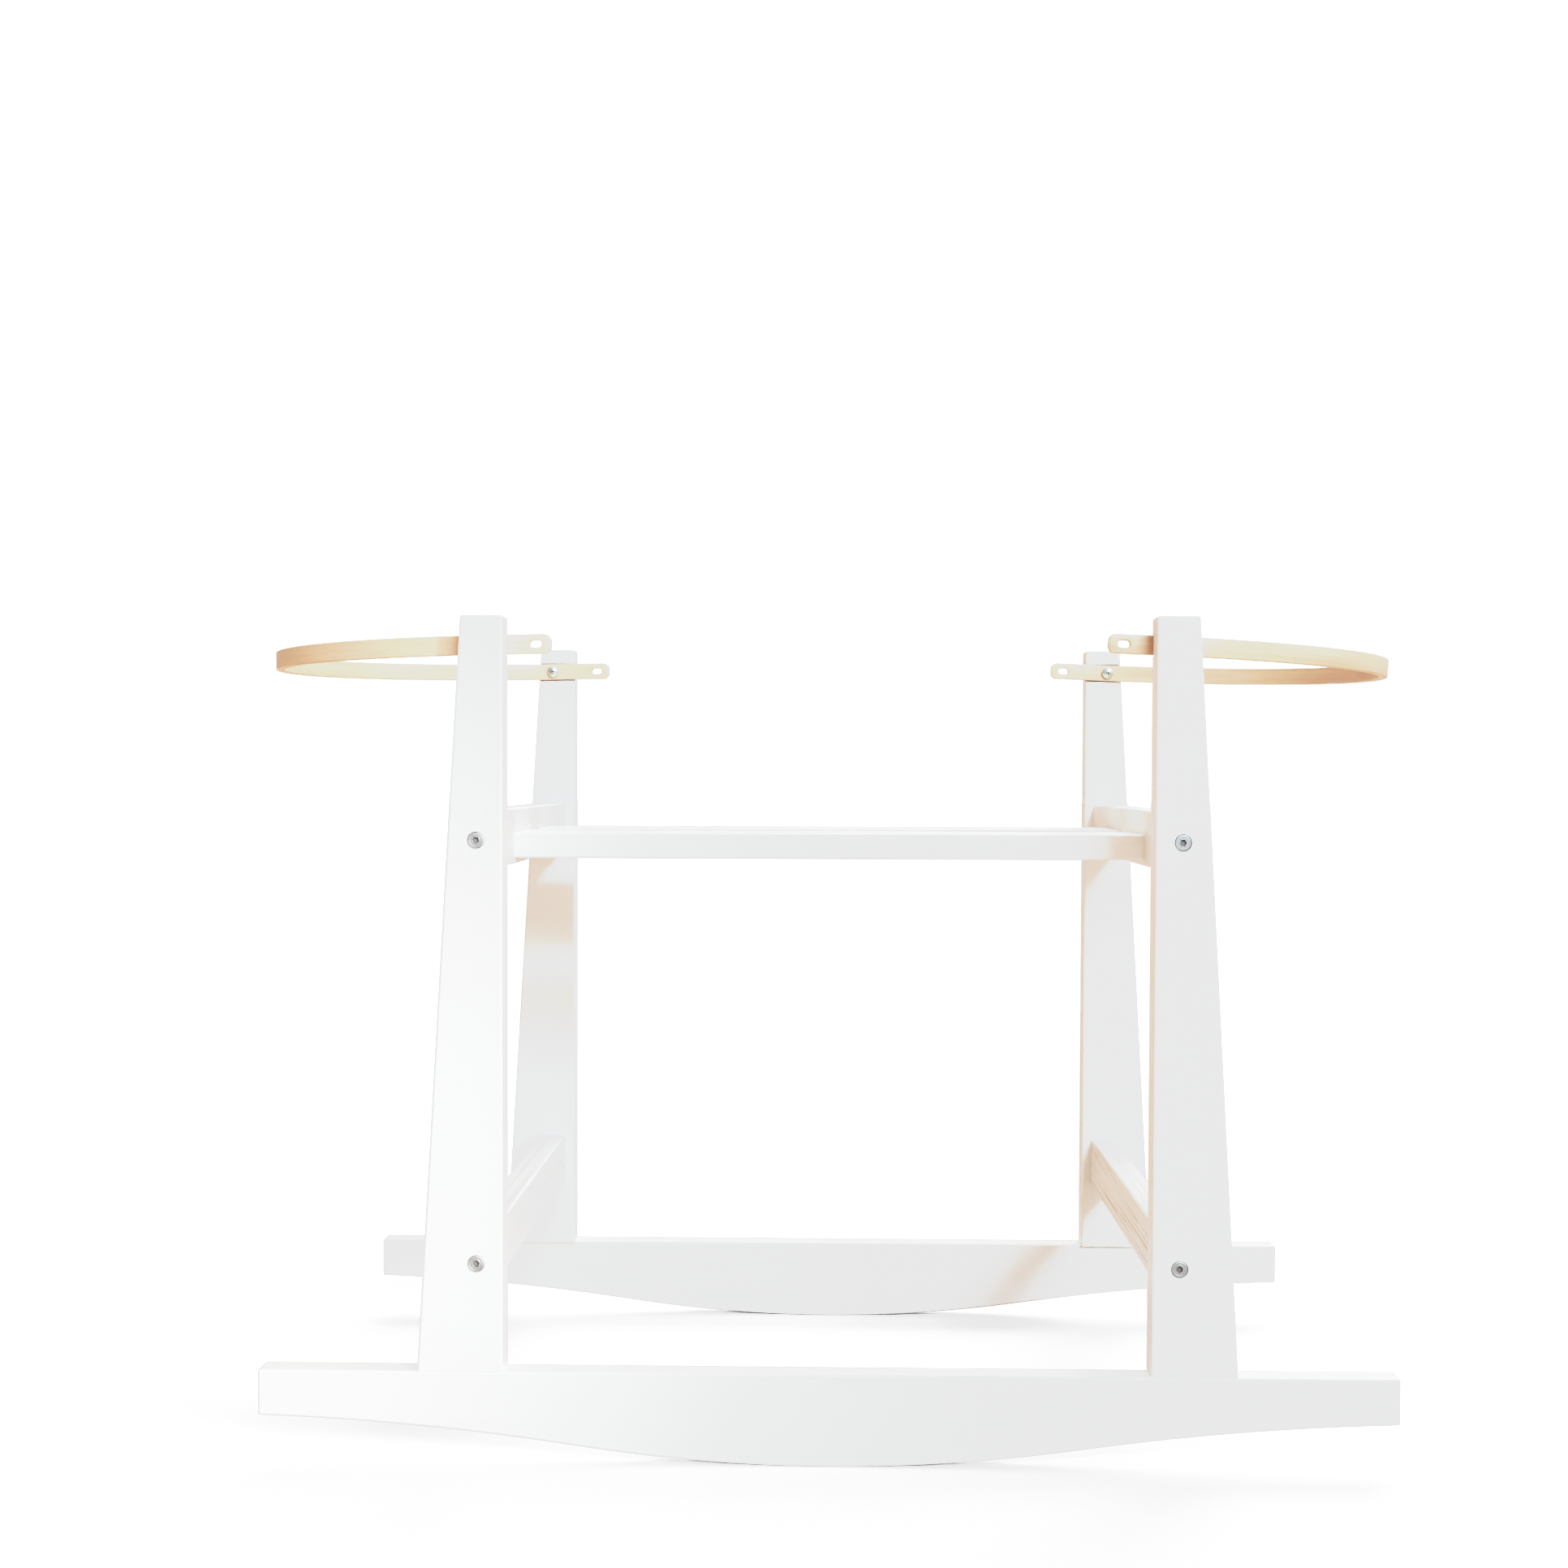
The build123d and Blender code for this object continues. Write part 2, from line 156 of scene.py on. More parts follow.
def facing(place, direction):
    """A frame at place whose +Z points along direction."""
    turn = Vector(direction).to_track_quat("Z", "Y").to_matrix().to_4x4()
    return Matrix.Translation(place) @ turn


# ---------------------------------------------------------------------------------------------
# Material helpers


class Nodes:
    """Short names for building one material's node tree."""

    def __init__(self, name):
        self.material = bpy.data.materials.new(name)
        self.material.use_nodes = True
        self.tree = self.material.node_tree
        self.shader = self.tree.nodes["Principled BSDF"]

    def add(self, kind, **settings):
        node = self.tree.nodes.new("ShaderNode" + kind)
        for key, value in settings.items():
            setattr(node, key, value)
        return node

    def link(self, source, target):
        self.tree.links.new(source, target)

    def place(self):
        """The point's own place on its object, in metres."""
        return self.add("TexCoord").outputs["Object"]

    def stretched(self, vector, scale, shift=(0, 0, 0)):
        node = self.add("Mapping")
        node.inputs["Scale"].default_value = scale
        node.inputs["Location"].default_value = shift
        self.link(vector, node.inputs["Vector"])
        return node.outputs["Vector"]

    def noise(self, vector, scale=1.0, detail=4.0, roughness=0.55, distortion=0.0):
        node = self.add("TexNoise")
        node.inputs["Scale"].default_value = scale
        node.inputs["Detail"].default_value = detail
        node.inputs["Roughness"].default_value = roughness
        node.inputs["Distortion"].default_value = distortion
        self.link(vector, node.inputs["Vector"])
        return node.outputs["Fac"]

    def between(self, value, low, high, out_low=0.0, out_high=1.0):
        """A smooth step of value from low to high."""
        node = self.add("MapRange", interpolation_type="SMOOTHSTEP")
        node.inputs["From Min"].default_value = low
        node.inputs["From Max"].default_value = high
        node.inputs["To Min"].default_value = out_low
        node.inputs["To Max"].default_value = out_high
        self.link(value, node.inputs["Value"])
        return node.outputs["Result"]

    def math(self, operation, first, second=None):
        node = self.add("Math", operation=operation)
        for socket, value in zip(node.inputs, (first, second)):
            if value is None:
                continue
            if isinstance(value, (int, float)):
                socket.default_value = value
            else:
                self.link(value, socket)
        return node.outputs["Value"]

    def blend(self, factor, first, second):
        """Between two colours, or two colour outputs, by a factor output."""
        node = self.add("Mix", data_type="RGBA")
        self.link(factor, node.inputs["Factor"])
        for socket, value in ((node.inputs["A"], first), (node.inputs["B"], second)):
            if isinstance(value, tuple):
                socket.default_value = (*value, 1.0)
            else:
                self.link(value, socket)
        return node.outputs["Result"]

    def bump(self, height, distance, strength=1.0, under=None):
        node = self.add("Bump")
        node.inputs["Distance"].default_value = distance
        node.inputs["Strength"].default_value = strength
        self.link(height, node.inputs["Height"])
        if under is not None:
            self.link(under, node.inputs["Normal"])
        return node.outputs["Normal"]

    def set(self, **values):
        """Constants on the shader's own sockets."""
        for key, value in values.items():
            self.shader.inputs[key.replace("_", " ")].default_value = value

    def end_grain(self, axis):
        """1 on faces that look along the grain, 0 on the sides."""
        split = self.add("SeparateXYZ")
        self.link(self.add("TexCoord").outputs["Normal"], split.inputs["Vector"])
        return self.between(self.math("ABSOLUTE", split.outputs[axis]), 0.80, 0.95)


# ---------------------------------------------------------------------------------------------
# Materials

PAINT = (0.760, 0.752, 0.735)
PAINT_WARM = (0.735, 0.712, 0.680)
PAINT_COOL = (0.765, 0.765, 0.762)
STREAK = (0.420, 0.330, 0.250)
PORE = (0.640, 0.600, 0.550)
PAINTED_END = (0.700, 0.670, 0.630)
BENTWOOD_LIGHT = (0.515, 0.322, 0.208)
BENTWOOD_DARK = (0.380, 0.204, 0.110)
CROSS_VENEER = (0.580, 0.430, 0.260)
GLUE_LINE = (0.400, 0.255, 0.130)
BEECH = (0.640, 0.455, 0.270)
BEECH_DARK = (0.470, 0.300, 0.160)
NICKEL = (0.330, 0.345, 0.360)
NICKEL_DARK = (0.300, 0.325, 0.350)
ZINC = (0.480, 0.640, 0.665)
ZINC_PALE = (0.600, 0.665, 0.640)
BRASS = (0.720, 0.530, 0.240)
BRASS_DARK = (0.640, 0.450, 0.200)
RECESS_SHADE = (0.130, 0.127, 0.124)


def along(axis, lengthwise, crosswise):
    """Texture scales for grain that runs along axis, 0, 1 or 2."""
    return tuple(lengthwise if i == axis else crosswise for i in range(3))


def painted_wood(axis, streaked=False):
    """Off-white satin paint over a straight grain that still shows a little through it.

    A streaked board has coarser wood, with dark hard bands that the paint only half hides.
    """
    n = Nodes(("streaked_wood_" if streaked else "painted_wood_") + "xyz"[axis])
    place = n.place()
    end = n.end_grain(axis)
    drift = n.noise(place, 7.0, 2.0)
    streaks = n.noise(n.stretched(place, along(axis, 5.0, 260.0)), 1.0, 5.0, 0.6, 0.4)
    pores = n.noise(n.stretched(place, along(axis, 34.0, 1500.0)), 1.0, 3.0, 0.6)
    rings = n.noise(n.stretched(place, along(axis, 30.0, 320.0)), 1.0, 4.0, 0.65, 1.2)
    peel = n.noise(place, 620.0, 2.0, 0.5)
    brush = n.noise(n.stretched(place, along(axis, 16.0, 700.0)), 1.0, 2.0)

    tone = n.blend(n.between(drift, 0.35, 0.68), PAINT_WARM, PAINT_COOL)
    tone = n.blend(n.between(streaks, 0.30, 0.75, 0.25, 0.85), tone, PAINT)
    sunk_pores_and_recess_shade = n.between(pores, 0.64, 0.80, 0.0, 0.35)
    tone = n.blend(sunk_pores_and_recess_shade, tone, PORE)
    if streaked:
        bands = n.noise(n.stretched(place, along(axis, 3.5, 420.0)), 1.0, 3.0, 0.55, 0.8)
        tone = n.blend(n.between(bands, 0.52, 0.64, 0.0, 0.8), tone, STREAK)
    tone = n.blend(n.math("MULTIPLY", end, 0.45), tone, PAINTED_END)
    n.link(tone, n.shader.inputs["Base Color"])

    rough = n.between(n.noise(place, 60.0, 3.0), 0.30, 0.75, 0.36, 0.52)
    n.link(rough, n.shader.inputs["Roughness"])
    n.set(Specular_IOR_Level=0.45, Coat_Weight=0.08, Coat_Roughness=0.30)

    side = n.bump(streaks, 0.16 * MM, 0.55)
    side = n.bump(n.math("MULTIPLY", n.between(pores, 0.60, 0.78), -1.0), 0.10 * MM, 0.65, side)
    side = n.bump(brush, 0.05 * MM, 0.5, side)
    side = n.bump(peel, 0.04 * MM, 0.5, side)
    n.link(n.bump(n.math("MULTIPLY", rings, end), 0.30 * MM, 0.6, side), n.shader.inputs["Normal"])
    return n.material


def bare_dowel(axis):
    """Turned beech with short flecks."""
    n = Nodes("bare_beech_" + "xyz"[axis])
    place = n.place()
    grain = n.noise(n.stretched(place, along(axis, 18.0, 900.0)), 1.0, 5.0, 0.6, 0.6)
    flecks = n.noise(n.stretched(place, along(axis, 160.0, 1500.0)), 1.0, 2.0)
    tone = n.blend(n.between(grain, 0.32, 0.70), BEECH_DARK, BEECH)
    tone = n.blend(n.between(flecks, 0.62, 0.75, 0.0, 0.5), tone, BEECH_DARK)
    tone = n.blend(n.math("MULTIPLY", n.end_grain(axis), 0.5), tone, BEECH_DARK)
    n.link(tone, n.shader.inputs["Base Color"])
    n.link(n.between(grain, 0.2, 0.8, 0.55, 0.72), n.shader.inputs["Roughness"])
    n.link(n.bump(grain, 0.12 * MM, 0.6), n.shader.inputs["Normal"])
    return n.material


VENEERS = 6


def bentwood():
    """Lacquered bent veneers. The mesh's "grain" attribute holds the place as if the band were straight."""
    n = Nodes("bentwood_lacquered")
    grain_place = n.add("Attribute", attribute_name="grain").outputs["Vector"]
    split = n.add("SeparateXYZ")
    n.link(grain_place, split.inputs["Vector"])
    depth = split.outputs["Y"]
    edge = n.between(n.add("Attribute", attribute_name="edge").outputs["Fac"], 0.4, 0.6)

    figure = n.noise(n.stretched(grain_place, (3.2, 60.0, 150.0)), 1.0, 3.0, 0.5, 1.4)
    fine = n.noise(n.stretched(grain_place, (14.0, 900.0, 1300.0)), 1.0, 4.0, 0.65, 0.3)
    flecks = n.noise(n.stretched(grain_place, (210.0, 1500.0, 1700.0)), 1.0, 1.0)
    patches = n.noise(n.stretched(grain_place, (9.0, 30.0, 30.0)), 1.0, 2.0)

    face_tone = n.blend(n.between(figure, 0.32, 0.70), BENTWOOD_DARK, BENTWOOD_LIGHT)
    face_tone = n.blend(n.between(patches, 0.2, 0.7, 0.35, 0.85), face_tone, BENTWOOD_LIGHT)
    face_tone = n.blend(n.between(fine, 0.30, 0.52, 0.38, 0.0), face_tone, BENTWOOD_DARK)
    face_tone = n.blend(n.between(flecks, 0.64, 0.74, 0.0, 0.45), face_tone, BENTWOOD_DARK)

    layer = n.math("MULTIPLY", n.math("ADD", depth, 0.5), VENEERS)
    stripe = n.math("PINGPONG", layer, 1.0)
    off_glue = n.between(n.math("PINGPONG", layer, 0.5), 0.06, 0.14)
    edge_tone = n.blend(n.between(stripe, 0.35, 0.65), BENTWOOD_LIGHT, CROSS_VENEER)
    edge_tone = n.blend(n.between(fine, 0.35, 0.60, 0.35, 0.0), edge_tone, BENTWOOD_DARK)
    edge_tone = n.blend(off_glue, GLUE_LINE, edge_tone)

    n.link(n.blend(edge, face_tone, edge_tone), n.shader.inputs["Base Color"])
    n.link(n.between(fine, 0.2, 0.8, 0.30, 0.46), n.shader.inputs["Roughness"])
    n.set(Specular_IOR_Level=0.5, Coat_Weight=0.35, Coat_Roughness=0.22)
    height = n.bump(fine, 0.10 * MM, 0.5)
    height = n.bump(n.math("MULTIPLY", flecks, -1.0), 0.05 * MM, 0.4, height)
    n.link(height, n.shader.inputs["Normal"])
    return n.material


def turned_metal(name, colour, second, roughness, recess=None):
    """Plated metal with fine turning marks round the piece's own Z axis and a faint mottle.

    A recess is given as its radius and the height that it lies below. It is made rougher, and its colour is
    painted dark as shade inside it.
    """
    n = Nodes(name)
    place = n.place()
    split = n.add("SeparateXYZ")
    n.link(place, split.inputs["Vector"])
    x_squared = n.math("POWER", split.outputs["X"], 2.0)
    y_squared = n.math("POWER", split.outputs["Y"], 2.0)
    radius = n.math("SQRT", n.math("ADD", x_squared, y_squared))
    combine = n.add("CombineXYZ")
    n.link(radius, combine.inputs["X"])
    n.link(split.outputs["Z"], combine.inputs["Z"])
    marks = n.noise(combine.outputs["Vector"], 5200.0, 3.0, 0.6)
    mottle = n.noise(place, 420.0, 3.0)
    tone = n.blend(n.between(mottle, 0.35, 0.70), colour, second)
    rough = n.between(n.noise(place, 900.0, 3.0), 0.3, 0.8, roughness - 0.06, roughness + 0.12)
    if recess is not None:
        reach, height = recess
        inside = n.between(radius, reach, reach + 0.1 * MM, 1.0, 0.0)
        below = n.between(split.outputs["Z"], height - 0.15 * MM, height, 1.0, 0.0)
        sunk_pores_and_recess_shade = n.math("MULTIPLY", inside, below)
        # Painted shade: the colour inside the drive recess is darkened, as shade in the hollow.
        tone = n.blend(sunk_pores_and_recess_shade, tone, RECESS_SHADE)
        rough = n.math("ADD", rough, n.math("MULTIPLY", sunk_pores_and_recess_shade, 0.25))
    n.link(tone, n.shader.inputs["Base Color"])
    n.link(rough, n.shader.inputs["Roughness"])
    n.set(Metallic=1.0)
    n.link(n.bump(marks, 0.03 * MM, 0.35), n.shader.inputs["Normal"])
    return n.material


MATERIALS = {
    "paint": {axis: painted_wood(axis) for axis in range(3)},
    "streaked": {1: painted_wood(1, streaked=True)},
    "dowel": {axis: bare_dowel(axis) for axis in range(3)},
    "bentwood": bentwood(),
    "nickel": turned_metal("nickel_plate", NICKEL, NICKEL_DARK, 0.36, recess=(2.7 * MM, 2.3 * MM)),
    "zinc": turned_metal("zinc_plate", ZINC, ZINC_PALE, 0.24, recess=(2.7 * MM, 2.9 * MM)),
    "screw_zinc": turned_metal("zinc_screw", ZINC, ZINC_PALE, 0.26, recess=(2.6 * MM, 1.95 * MM)),
    "brass": turned_metal("bare_brass", BRASS, BRASS_DARK, 0.30),
}


def dress(obj, material):
    """Give every face of a piece one material."""
    obj.data.materials.clear()
    obj.data.materials.append(material)


def dress_nodes():
    """Assign materials to the nodes that keep their own shape, each with its grain along its board."""
    kinds = [("rocker", "paint", 0), ("slat_front", "paint", 0), ("slat_rear", "paint", 0)]
    kinds += [("leg", "paint", 2), ("upper_side_rail", "paint", 1), ("lower_side_rail", "streaked", 1)]
    kinds += [("foot_dowels", "dowel", 2), ("rail_dowels", "dowel", 1), ("slat_dowels", "dowel", 0)]
    for name, node in frame["nodes"].items():
        for start, kind, axis in kinds:
            if name.startswith(start):
                dress(node, MATERIALS[kind][axis])
        if name.startswith("barrel_nuts"):
            dress(node, MATERIALS["zinc"])
        if name.startswith("hoop_inserts"):
            dress(node, MATERIALS["brass"])


# ---------------------------------------------------------------------------------------------
# Hoops: bent veneers, each with two straight arms and a half circle

BAND_HEIGHT = 14 * MM
BAND_THICKNESS = 7 * MM
BAND_EDGE = 0.8 * MM
TIP_RADIUS = 5 * MM
GLUE_GROOVE = 0.07 * MM
GLUE_GROOVE_HALF = 0.10 * MM
PIVOT_HOLE_RADIUS = 2.575 * MM
SLOT_RADIUS = 2.6 * MM
SLOT_HALF = 1.8 * MM
SLOT_FROM_TIP = 11 * MM
HOLE_CHAMFER = 0.45 * MM
HOOP_PLAY = 0.3 * MM
EDGE_STEPS = 4
TIP_STEPS = 6
ARM_STEPS = 5
ARC_STEPS = 120
HOLE_STEPS = 48
EDGE_NORMAL = 0.6


def band_section():
    """The band's outline as (across, up), with a shallow groove at each glue line on both edges."""
    half_t, half_h = BAND_THICKNESS / 2, BAND_HEIGHT / 2
    points = []
    for turn in range(4):
        corner_x = (half_t - BAND_EDGE) * (1 if turn in (0, 3) else -1)
        corner_z = (half_h - BAND_EDGE) * (1 if turn in (0, 1) else -1)
        for i in range(EDGE_STEPS + 1):
            angle = math.pi / 2 * (turn + i / EDGE_STEPS)
            points.append((corner_x + BAND_EDGE * math.cos(angle), corner_z + BAND_EDGE * math.sin(angle)))
        if turn % 2 == 0:
            way = -1 if turn == 0 else 1
            height = half_h if turn == 0 else -half_h
            for line in range(1, VENEERS):
                middle = way * (line / VENEERS - 0.5) * BAND_THICKNESS
                if abs(middle) > half_t - BAND_EDGE - GLUE_GROOVE_HALF:
                    continue
                for step, sink in ((-1, 0), (0, 1), (1, 0)):
                    x = middle + way * step * GLUE_GROOVE_HALF
                    points.append((x, height - math.copysign(sink * GLUE_GROOVE, height)))
    return points


def band_stations(tip_x, centre_x, radius):
    """Places along the band's middle line, as (x, y, outward angle, distance from the nearest tip)."""
    arm = centre_x - tip_x
    rounding = [TIP_RADIUS * (1 - math.cos(math.pi / 2 * i / TIP_STEPS)) for i in range(TIP_STEPS + 1)]
    steps = rounding + [TIP_RADIUS + (arm - TIP_RADIUS) * i / ARM_STEPS for i in range(1, ARM_STEPS)]
    front = [(tip_x + s, -radius, -math.pi / 2, s) for s in steps]
    arc = []
    for i in range(ARC_STEPS + 1):
        angle = math.pi * (i / ARC_STEPS - 0.5)
        arc.append((centre_x + radius * math.cos(angle), radius * math.sin(angle), angle, arm))
    rear = [(x, -y, -angle, s) for x, y, angle, s in reversed(front)]
    return front + arc + rear


def band_mesh(tip_x, centre_x, radius):
    """The right-hand hoop, level, with its middle height at Z = 0."""
    section = band_section()
    points = []
    for x, y, angle, from_tip in band_stations(tip_x, centre_x, radius):
        inside = max(0.0, TIP_RADIUS - from_tip)
        shrink = 1 - (TIP_RADIUS - math.sqrt(TIP_RADIUS**2 - inside**2)) / (BAND_HEIGHT / 2)
        for across, up in section:
            points.append((x + across * math.cos(angle), y + across * math.sin(angle), up * shrink))
    count = len(section)
    rows = len(points) // count
    faces = [tuple(range(count)), tuple(reversed(range((rows - 1) * count, rows * count)))]
    for row in range(rows - 1):
        for i in range(count):
            j = (i + 1) % count
            a, b = row * count, (row + 1) * count
            faces.append((a + i, b + i, b + j, a + j))
    mesh = mesh_from("band", points, faces)
    outward(mesh)
    return mesh


def hole_cutter(half_length, radius, place, near, far):
    """A round or oblong hole along Y from near to far, with a small chamfer at each face of the band."""
    count = HOLE_STEPS
    widths = [(near - HOLE_CHAMFER, 2), (near, 1), (near + HOLE_CHAMFER, 0)]
    widths += [(far - HOLE_CHAMFER, 0), (far, 1), (far + HOLE_CHAMFER, 2)]
    points = []
    for y, wider in widths:
        reach = radius + wider * HOLE_CHAMFER
        for i in range(count):
            angle = math.tau * i / count
            shift = half_length if math.cos(angle) > 0 else -half_length
            points.append((place + shift + reach * math.cos(angle), y, reach * math.sin(angle)))
    last = (len(widths) - 1) * count
    faces = [tuple(range(count)), tuple(reversed(range(last, last + count)))]
    for row in range(len(widths) - 1):
        for i in range(count):
            j = (i + 1) % count
            a, b = row * count, (row + 1) * count
            faces.append((a + i, b + i, b + j, a + j))
    return mesh_from("hole", points, faces)


def mark_grain(mesh, tip_x, centre_x, radius):
    """Store, at each point, its place along, through and up the band, and whether a face is a band edge."""
    grain = mesh.attributes.new("grain", "FLOAT_VECTOR", "POINT")
    edge = mesh.attributes.new("edge", "FLOAT", "FACE")
    arm = centre_x - tip_x
    for vertex, value in zip(mesh.vertices, grain.data):
        x, y, z = vertex.co
        if x < centre_x:
            distance = abs(y)
            run = x - tip_x if y < 0 else arm * 2 + math.pi * radius - (x - tip_x)
        else:
            distance = math.hypot(x - centre_x, y)
            run = arm + radius * (math.atan2(y, x - centre_x) + math.pi / 2)
        value.vector = (run, (distance - radius) / BAND_THICKNESS, z)
    for face, value in zip(mesh.polygons, edge.data):
        value.value = 1.0 if abs(face.normal.z) > EDGE_NORMAL else 0.0


def hoop(side_name):
    """One hoop. It hangs below level by the angle in the middle of its joint's range."""
    side = SIDES[side_name]
    node = "hoop_" + side_name
    joint = JOINTS[node + "_pivot"]
    droop = math.radians(sum(joint["range_deg"]) / 2)
    pivot = Vector(joint["pos_m"])
    low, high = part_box(node)
    outer = high.y
    reach = max(abs(low.x), abs(high.x))
    radius = outer - BAND_THICKNESS / 2
    centre_x = reach - outer
    tip_x = min(abs(low.x), abs(high.x))
    obj = new_object(node + "_band", band_mesh(tip_x, centre_x, radius))
    cutters = []
    for face in FACES.values():
        near, far = sorted((face * (outer - BAND_THICKNESS), face * outer))
        cutters.append(hole_cutter(0.0, PIVOT_HOLE_RADIUS, abs(pivot.x), near, far))
        cutters.append(hole_cutter(SLOT_HALF, SLOT_RADIUS, tip_x + SLOT_FROM_TIP, near, far))
    cut(obj, cutters)
    mark_grain(obj.data, tip_x, centre_x, radius)
    turn = Matrix.Rotation(math.pi if side < 0 else 0.0, 4, "Z")
    hang = Matrix.Rotation(side * droop, 4, "Y")
    to_pivot = Matrix.Translation((-pivot.x, 0, 0))
    obj.data.transform(Matrix.Translation(pivot) @ hang @ to_pivot @ turn)
    crisp(obj, degrees=40)
    dress(obj, MATERIALS["bentwood"])
    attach(obj, node)
    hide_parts(node)


# ---------------------------------------------------------------------------------------------
# Screws and bolts. Each is built with its head at the top, its seat at Z = 0 and its shank below.
# The degrees called SPIN turn each one a little further than the last, so no two drives stand alike.


def threaded_rod(radius, length, pitch, depth, plain=0.0, point=0.0, steps=20):
    """A shank from Z = 0 down: a plain neck, a helical thread, and a point or a chamfered end."""
    rows_per_turn = 6
    blunt = 0.06
    core = 0.05
    rows = max(4, int((length - plain) / pitch * rows_per_turn))
    points = [(0.0, 0.0, 0.0)]
    levels = [0.0, plain] + [plain + (length - plain) * (i + 1) / rows for i in range(rows)]
    for row, down in enumerate(levels):
        left = length - down
        limit = radius
        if point > 0 and left < point:
            limit = radius * max(blunt, left / point)
        elif left < pitch:
            limit = radius - depth * (1 - left / pitch)
        for i in range(steps):
            wave = (down / pitch - i / steps) % 1.0
            groove = depth * abs(2 * wave - 1) if row > 1 else 0.0
            reach = max(core * radius, limit - groove * limit / radius)
            angle = math.tau * i / steps
            points.append((reach * math.cos(angle), reach * math.sin(angle), -down))
    points.append((0.0, 0.0, -length))
    last = len(points) - 1
    faces = []
    for i in range(steps):
        j = (i + 1) % steps
        faces.append((0, 1 + i, 1 + j))
        for row in range(len(levels) - 1):
            a, b = 1 + row * steps, 1 + (row + 1) * steps
            faces.append((a + i, b + i, b + j, a + j))
        a = 1 + (len(levels) - 1) * steps
        faces.append((a + i, last, a + j))
    return points, faces


def prism(sides, radius, bottom, top, bottom_scale=1.0):
    """A straight or tapered prism round Z, for a socket. One of its flats faces +X."""
    points = []
    for z, scale in ((bottom, bottom_scale), (top, 1.0)):
        for i in range(sides):
            angle = math.tau * (i + 0.5) / sides
            points.append((scale * radius * math.cos(angle), scale * radius * math.sin(angle), z))
    faces = [tuple(reversed(range(sides))), tuple(range(sides, 2 * sides))]
    for i in range(sides):
        j = (i + 1) % sides
        faces.append((i, j, sides + j, sides + i))
    return mesh_from("socket", points, faces, smooth=False)


def blade(length, width, bottom, top, turn):
    """One tapered bar of a cross recess, through the axis and turned about it."""
    points = []
    cos, sin = math.cos(turn), math.sin(turn)
    for z, shorter, thinner in ((bottom, 0.45, 0.75), (top, 1.0, 1.0)):
        for x, y in ((-1, -1), (1, -1), (1, 1), (-1, 1)):
            px, py = x * length * shorter, y * width * thinner
            points.append((px * cos - py * sin, px * sin + py * cos, z))
    faces = [(3, 2, 1, 0), (4, 5, 6, 7)]
    faces += [(i, (i + 1) % 4, 4 + (i + 1) % 4, 4 + i) for i in range(4)]
    return mesh_from("blade", points, faces, smooth=False)


OVERCUT = 0.5 * MM
BLADE_WIDTH = 0.19
SCORE_LENGTH = 0.95
SCORE_WIDTH = 0.045
SCORE_DEPTH = 0.16 * MM


def cross_cutters(head_top, size, depth, turn):
    """A cross recess with four score marks between its arms. Their lengths and widths are shares of size."""
    over = head_top + OVERCUT
    right_angle = math.pi / 2
    cutters = []
    for quarter in (0, 1):
        way = turn + quarter * right_angle
        cutters.append(blade(size, size * BLADE_WIDTH, head_top - depth, over, way))
    for quarter in (0, 1):
        way = turn + (quarter + 0.5) * right_angle
        cutters.append(blade(size * SCORE_LENGTH, size * SCORE_WIDTH, head_top - SCORE_DEPTH, over, way))
    return cutters


def fastener(name, profile, shank, cutters, place, material, node, slot_name):
    """Join a turned head to a threaded shank, cut the drive, and put it in place on the frame."""
    points, faces = lathe(profile)
    head = new_object(name, mesh_from(name, points, faces))
    outward(head.data)
    cut(head, cutters)
    shank_points, shank_faces = shank
    shape = bmesh.new()
    shape.from_mesh(head.data)
    extra = mesh_from("shank", shank_points, shank_faces)
    outward(extra)
    shape.from_mesh(extra)
    shape.to_mesh(head.data)
    shape.free()
    bpy.data.meshes.remove(extra)
    crisp(head, degrees=30)
    head.matrix_world = place
    dress(head, material)
    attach(head, "frame")
    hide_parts(node)


def rounded_disc(radius, height, edge, crown=0.0, under=0.0):
    """A head's profile from the middle of its top to the middle of its underside."""
    crown_steps = 8
    rim_steps = 5
    foot = 0.2 * MM
    profile = [(0.0, height)]
    if crown > 0:
        for i in range(1, crown_steps + 1):
            t = i / crown_steps
            profile.append(((radius - edge) * t, height - crown * t * t))
    else:
        profile.append((radius - edge, height))
    base = height - crown
    for i in range(1, rim_steps + 1):
        angle = math.pi / 2 * i / rim_steps
        profile.append((radius - edge + edge * math.sin(angle), base - edge + edge * math.cos(angle)))
    profile.append((radius, under))
    profile.append((radius - foot, 0.0))
    profile.append((0.0, 0.0))
    return profile


BOLT_SPIN = 37
BOLT_HEAD_RADIUS = 6 * MM
BOLT_HEAD_HEIGHT = 2.6 * MM
BOLT_RADIUS = 3 * MM
BOLT_PITCH = 1.0 * MM
BOLT_THREAD_DEPTH = 0.55 * MM
BOLT_PLAIN = 0.55
SOCKET_ACROSS = 4 * MM
SOCKET_DEPTH = 2.0 * MM
SOCKET_FLARE = 1.14
SOCKET_FLARE_DEPTH = 0.28 * MM


def bolt_profile():
    """A flat head with a rounded rim and a shallow ring pressed into it round the socket."""
    r, h = BOLT_HEAD_RADIUS, BOLT_HEAD_HEIGHT
    ring_in = 3.3 * MM
    ring_out = 4.3 * MM
    slope = 0.2 * MM
    dip = 0.12 * MM
    edge = 1.0 * MM
    rim_steps = 6
    foot = 0.3 * MM
    profile = [(0.0, h), (ring_in, h), (ring_in + slope, h - dip), (ring_out, h - dip), (ring_out + slope, h)]
    for i in range(rim_steps + 1):
        angle = math.pi / 2 * i / rim_steps
        profile.append((r - edge + edge * math.sin(angle), h - edge + edge * math.cos(angle)))
    profile += [(r, foot), (r - foot, 0.0), (0.0, 0.0)]
    return profile


